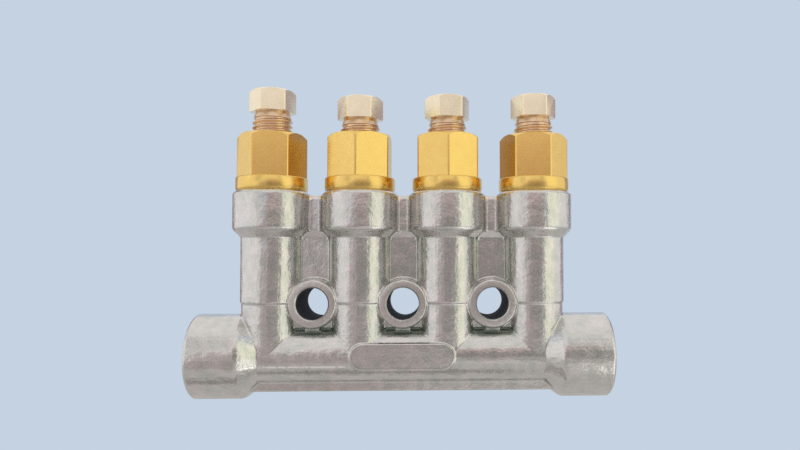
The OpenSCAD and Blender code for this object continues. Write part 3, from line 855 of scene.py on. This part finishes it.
def make_screw_shape():
    """One pale screw about Z, its tip at zero, with a hexagon corner towards -Y."""
    neck_z = SCREW_THREAD_L
    head_z = neck_z + SCREW_NECK_L
    top_z = head_z + SCREW_HEAD_H
    tip = 0.5 * MM
    # The shaft takes the darker brass, a painted shade of the thread's grooves
    brass = [pale_brass, shaded_thread_brass]
    piece = solid("pale_screw", hex_bar(SCREW_FLAT_R, head_z, top_z, SCREW_HEX_EDGE), HEAD, brass)
    chamfer = chamfer_blank(SCREW_FLAT_R, SCREW_FACE_INSET, head_z - MM, top_z, SCREW_FACE_SLOPE)
    combine(piece, solid("chamfer", chamfer), "INTERSECT")
    shaft = solid("shaft", lathe([
        (0, 0), (SCREW_ROOT_R - tip, 0), (SCREW_ROOT_R, tip), (SCREW_ROOT_R, neck_z),
        (SCREW_NECK_R, neck_z + FACE_LAP), (SCREW_NECK_TOP_R, head_z - FACE_LAP),
        (SCREW_NECK_TOP_R, head_z + FACE_LAP), (0, head_z + FACE_LAP),
    ]), SHAFT, brass)
    thread_l = neck_z - SCREW_THREAD_SHORT
    ridge = thread_ridge(SCREW_ROOT_R, SCREW_THREAD_R, SCREW_PITCH, SCREW_THREAD_START, thread_l)
    combine(shaft, solid("ridge", ridge, SHAFT, brass), "UNION")
    combine(piece, shaft, "UNION")
    cut(piece, lathe([(0, -MM), (SCREW_BORE_R, -MM), (SCREW_BORE_R, top_z + MM), (0, top_z + MM)]), HEAD)
    return piece


def copies(shape, names, turns, places):
    """Copies of a shape, each turned about Z and moved. The shape itself goes."""
    made = []
    for name, turn, place in zip(names, turns, places):
        bm = bmesh.new()
        bm.from_mesh(shape.data)
        piece = solid(name, placed(bm, (turn, "Z"), place), materials=shape.data.materials)
        shade(piece)
        made.append(piece)
    bpy.data.objects.remove(shape)
    return made


def make_coil(i):
    """One return spring from its CAD node."""
    bm = bmesh.new()
    bm.from_mesh(frame["nodes"][f"return_spring_{i}"].data)
    bmesh.ops.remove_doubles(bm, verts=bm.verts, dist=MERGE)
    coil = solid(f"steel_coil_{i}", bm)
    shade(coil)
    finish_piece(coil, "manifold", "spring_steel", [spring_steel], f"return_spring_{i}")
    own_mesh(coil)


make_casting()

axis_places = [(x, AXIS_Y, 0) for x in CELL_X]
fittings = copies(make_fitting_shape(), [f"gold_fitting_{i}" for i in CELLS], FITTING_TURN, axis_places)
for i, piece in zip(CELLS, fittings):
    finish_piece(piece, "manifold", "gold_fitting", [gold], f"outlet_fitting_{i}")

screw_places = [(x, AXIS_Y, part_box(f"compression_screw_{i}")[0].z) for i, x in zip(CELLS, CELL_X)]
screws = copies(make_screw_shape(), [f"pale_screw_{i}" for i in CELLS], SCREW_TURN, screw_places)
for i, piece in zip(CELLS, screws):
    finish_piece(piece, f"screw_{i}", "pale_brass", [], f"compression_screw_{i}")

INNER_MATERIALS = {
    "seal_ring": black_rubber, "core_tube": bright_steel,
    "metering_piston": piston_steel, "umbrella_valve": brown_rubber, "ferrule": ferrule_brass,
}
for kind, material in INNER_MATERIALS.items():
    for i in CELLS:
        slots = frame["nodes"][f"{kind}_{i}"].data.materials
        slots.clear()
        slots.append(material)

for i, x in zip(CELLS, CELL_X):
    make_coil(i)


# Studio

BACKGROUND = (0.558, 0.645, 0.760)
FLOOR_Z = -100 * MM
FLOOR_TONE = 0.8
SHADOW_NEAR, SHADOW_FAR = 90 * MM, 220 * MM
FLOOR_HALF = 4
WORLD_COLOR = (0.95, 0.98, 1.0)
WORLD_LEVEL = 0.45


def plain_for_camera(tree, seen, lit):
    """Camera, glossy and transmission rays see one shader, and all other rays meet the other."""
    path = tree.nodes.new("ShaderNodeLightPath")
    total = path.outputs["Is Camera Ray"]
    for ray in ("Is Glossy Ray", "Is Transmission Ray"):
        total = math_node(tree, "MAXIMUM", total, path.outputs[ray])
    mix = tree.nodes.new("ShaderNodeMixShader")
    tree.links.new(total, mix.inputs["Fac"])
    tree.links.new(lit, mix.inputs[1])
    tree.links.new(seen, mix.inputs[2])
    return mix.outputs["Shader"]


def make_world():
    world = bpy.data.worlds.new("studio")
    bpy.context.scene.world = world
    world.use_nodes = True
    tree = world.node_tree
    tree.nodes.clear()
    seen = add_node(tree, "ShaderNodeBackground", Color=(*BACKGROUND, 1), Strength=1.0)
    lit = add_node(tree, "ShaderNodeBackground", Color=(*WORLD_COLOR, 1), Strength=WORLD_LEVEL)
    output = tree.nodes.new("ShaderNodeOutputWorld")
    shader = plain_for_camera(tree, seen.outputs["Background"], lit.outputs["Background"])
    tree.links.new(shader, output.inputs["Surface"])


def make_floor():
    """A wide pale floor well below the part. It takes the shadow near the part and is plain far out."""
    bm = bmesh.new()
    bmesh.ops.create_grid(bm, x_segments=1, y_segments=1, size=FLOOR_HALF)
    floor = solid("floor", placed(bm, to=(0, 0, FLOOR_Z)))
    material, tree, shader = new_material("floor_paper", [FLOOR_TONE * c for c in BACKGROUND], 0, 0.9)
    shader.inputs["Specular IOR Level"].default_value = 0
    reach = add_node(tree, "ShaderNodeVectorMath", operation="DISTANCE")
    reach.inputs[1].default_value = (0, AXIS_Y, FLOOR_Z)
    tree.links.new(object_place(tree), reach.inputs[0])
    far = add_node(tree, "ShaderNodeMapRange", interpolation_type="SMOOTHSTEP")
    far.inputs["From Min"].default_value = SHADOW_NEAR
    far.inputs["From Max"].default_value = SHADOW_FAR
    tree.links.new(reach.outputs["Value"], far.inputs["Value"])
    plain = add_node(tree, "ShaderNodeEmission", Color=(*BACKGROUND, 1), Strength=1.0)
    blend = tree.nodes.new("ShaderNodeMixShader")
    tree.links.new(far.outputs["Result"], blend.inputs["Fac"])
    tree.links.new(shader.outputs["BSDF"], blend.inputs[1])
    tree.links.new(plain.outputs["Emission"], blend.inputs[2])
    output = tree.nodes["Material Output"]
    surface = plain_for_camera(tree, blend.outputs["Shader"], shader.outputs["BSDF"])
    tree.links.new(surface, output.inputs["Surface"])
    floor.data.materials.append(material)


MIDDLE = Vector((0, AXIS_Y, 8 * MM))
SOFTBOX_DISTANCE = 500 * MM
SIDE_RISE = 6
CARD_GAP = 10 * MM
DARK, BROWN, BRIGHT = (0.30, 0.28, 0.27), (0.52, 0.46, 0.46), (0.80, 0.77, 0.74)


def toward(azimuth, height):
    """A direction from the part's middle, in degrees from the front towards +X and upwards."""
    turn, rise = math.radians(azimuth), math.radians(height)
    return Vector((math.sin(turn) * math.cos(rise), -math.cos(turn) * math.cos(rise), math.sin(rise)))


def panel(azimuth, height, distance, spread):
    """Place, turn and size of a flat panel that faces the part and covers a spread of degrees each way."""
    place = MIDDLE + distance * toward(azimuth, height)
    turn = (MIDDLE - place).to_track_quat("-Z", "Y")
    size = [2 * distance * math.tan(math.radians(angle) / 2) for angle in spread]
    return place, turn, size


def screen(x_range, z_range, distance):
    """Place, turn and size of an upright panel in front of the part, from its edges and distance."""
    place = Vector((sum(x_range) / 2 * MM, AXIS_Y - distance * MM, sum(z_range) / 2 * MM))
    size = [(x_range[1] - x_range[0]) * MM, (z_range[1] - z_range[0]) * MM]
    return place, Vector((0, 1, 0)).to_track_quat("-Z", "Y"), size


def shelf(x_range, reach, height):
    """Place, turn and size of a level panel, from its edges along X and forwards, and its height."""
    place = Vector((sum(x_range) / 2 * MM, AXIS_Y - sum(reach) / 2 * MM, height * MM))
    size = [(x_range[1] - x_range[0]) * MM, (reach[1] - reach[0]) * MM]
    return place, Matrix.Identity(3).to_quaternion(), size


def card(name, where, color):
    """A plain coloured card that only shiny surfaces show."""
    place, turn, size = where
    bm = bmesh.new()
    bmesh.ops.create_grid(bm, x_segments=1, y_segments=1, size=0.5)
    bmesh.ops.scale(bm, verts=bm.verts, vec=(size[0], size[1], 1))
    bmesh.ops.transform(bm, verts=bm.verts, matrix=Matrix.Translation(place) @ turn.to_matrix().to_4x4())
    made = solid(name, bm)
    material = bpy.data.materials.new(name)
    material.use_nodes = True
    tree = material.node_tree
    tree.nodes.clear()
    paint = add_node(tree, "ShaderNodeEmission", Color=(*color, 1), Strength=1.0)
    output = tree.nodes.new("ShaderNodeOutputMaterial")
    tree.links.new(paint.outputs["Emission"], output.inputs["Surface"])
    made.data.materials.append(material)
    made.visible_camera = False
    made.visible_diffuse = False
    made.visible_shadow = False


def soft_lamp(name, azimuth, height, spread, level, color):
    """A soft rectangular lamp with a black back. Its level is how bright it looks in a mirror."""
    place, turn, size = panel(azimuth, height, SOFTBOX_DISTANCE, spread)
    lamp = bpy.data.lights.new(name, "AREA")
    lamp.shape = "RECTANGLE"
    lamp.size, lamp.size_y = size
    lamp.energy = level * math.pi * size[0] * size[1]
    lamp.color = color
    holder = bpy.data.objects.new(name, lamp)
    holder.location = place
    holder.rotation_euler = turn.to_euler()
    holder.visible_camera = False
    bpy.context.scene.collection.objects.link(holder)
    card(name + "_back", panel(azimuth, height, SOFTBOX_DISTANCE + CARD_GAP, spread), (0, 0, 0))


make_world()
make_floor()
soft_lamp("front_left_softbox", -46, SIDE_RISE, (50, 60), 0.95, (1.0, 0.985, 0.965))
soft_lamp("left_softbox", -97, SIDE_RISE, (52, 60), 0.95, (1.0, 0.99, 0.985))
soft_lamp("right_strip", 54, SIDE_RISE, (36, 60), 1.14, (1.0, 1.0, 0.82))
soft_lamp("top_softbox", 0, 45, (80, 66), 0.9, (1.0, 0.985, 0.96))

# Each card: name, place in degrees or millimetres, and colour
CARDS = (
    ("dark_middle_card", screen((-34, 74), (-20, 36), 128), DARK),
    ("brown_middle_card", screen((-38, 95), (-28, 42), 132), BROWN),
    ("brown_left_card", screen((-98, -38), (-28, 24), 132), BROWN),
    ("pink_upper_card", screen((-38, 62), (42, 62), 132), (0.66, 0.48, 0.52)),
    ("tan_upper_card", screen((-34, 74), (27, 46), 126), (0.56, 0.44, 0.42)),
    ("grey_upper_left_card", screen((-140, -74), (40, 190), 134), (0.66, 0.64, 0.63)),
    ("grey_upper_right_card", screen((62, 92), (42, 160), 134), (0.56, 0.55, 0.53)),
    ("neutral_right_card", screen((74, 108), (-24, 40), 130), (0.42, 0.42, 0.40)),
    ("grey_under_card", shelf((-300, 300), (-300, 300), -75), (0.58, 0.56, 0.545)),
    ("overhead_card", shelf((-350, 350), (-500, 100), 360), (0.95, 0.93, 0.91)),
    ("brown_low_left_card", screen((-125, -5), (-150, -25), 136), (0.44, 0.38, 0.37)),
    ("grey_low_right_card", screen((-5, 130), (-58, -28), 136), (0.50, 0.48, 0.47)),
    ("bright_low_right_card", screen((-5, 130), (-150, -58), 136), BRIGHT),
    ("dark_low_card", shelf((-75, 26), (22, 38), -60), (0.28, 0.26, 0.25)),
    ("grey_low_card", shelf((26, 85), (12, 36), -60), (0.55, 0.53, 0.51)),
    ("white_low_right_card", panel(60, -38, 130 * MM, (36, 40)), (1.45, 1.45, 1.35)),
    ("right_card", panel(94, SIDE_RISE, SOFTBOX_DISTANCE, (44, 60)), (0.93, 0.92, 0.88)),
    ("right_rear_card", panel(127, SIDE_RISE, SOFTBOX_DISTANCE, (20, 60)), (0.34, 0.27, 0.34)),
    ("left_rear_card", panel(-136, SIDE_RISE, SOFTBOX_DISTANCE, (24, 60)), (0.36, 0.27, 0.28)),
)
for card_settings in CARDS:
    card(*card_settings)


# Camera at the photograph's viewpoint, for a frame of 800 x 450

PHOTO_W, PHOTO_H = 800, 450
FOCAL_PX = 643.49
PRINCIPAL_PX = (453.25, 237.37)
VIEW_YAW, VIEW_PITCH, VIEW_ROLL = 2.056, 2.036, -0.083
SENSOR_W = 36
CLIP_START = 5 * MM
VIEW_FROM = Vector((5.465 * MM, AXIS_Y - 133.195 * MM, 8.655 * MM))


def make_camera():
    lens = bpy.data.cameras.new("photo_view")
    lens.sensor_fit = "HORIZONTAL"
    lens.sensor_width = SENSOR_W
    lens.lens = FOCAL_PX / PHOTO_W * lens.sensor_width
    lens.shift_x = (PHOTO_W / 2 - PRINCIPAL_PX[0]) / PHOTO_W
    lens.shift_y = (PRINCIPAL_PX[1] - PHOTO_H / 2) / PHOTO_W
    lens.clip_start = CLIP_START
    camera = bpy.data.objects.new("photo_view", lens)
    yaw = Matrix.Rotation(math.radians(-VIEW_YAW), 4, "Z")
    pitch = Matrix.Rotation(math.radians(90 + VIEW_PITCH), 4, "X")
    roll = Matrix.Rotation(math.radians(VIEW_ROLL), 4, "Z")
    camera.matrix_world = Matrix.Translation(VIEW_FROM) @ yaw @ pitch @ roll
    bpy.context.scene.collection.objects.link(camera)
    bpy.context.scene.camera = camera


make_camera()
bpy.context.scene.view_settings.view_transform = "Standard"
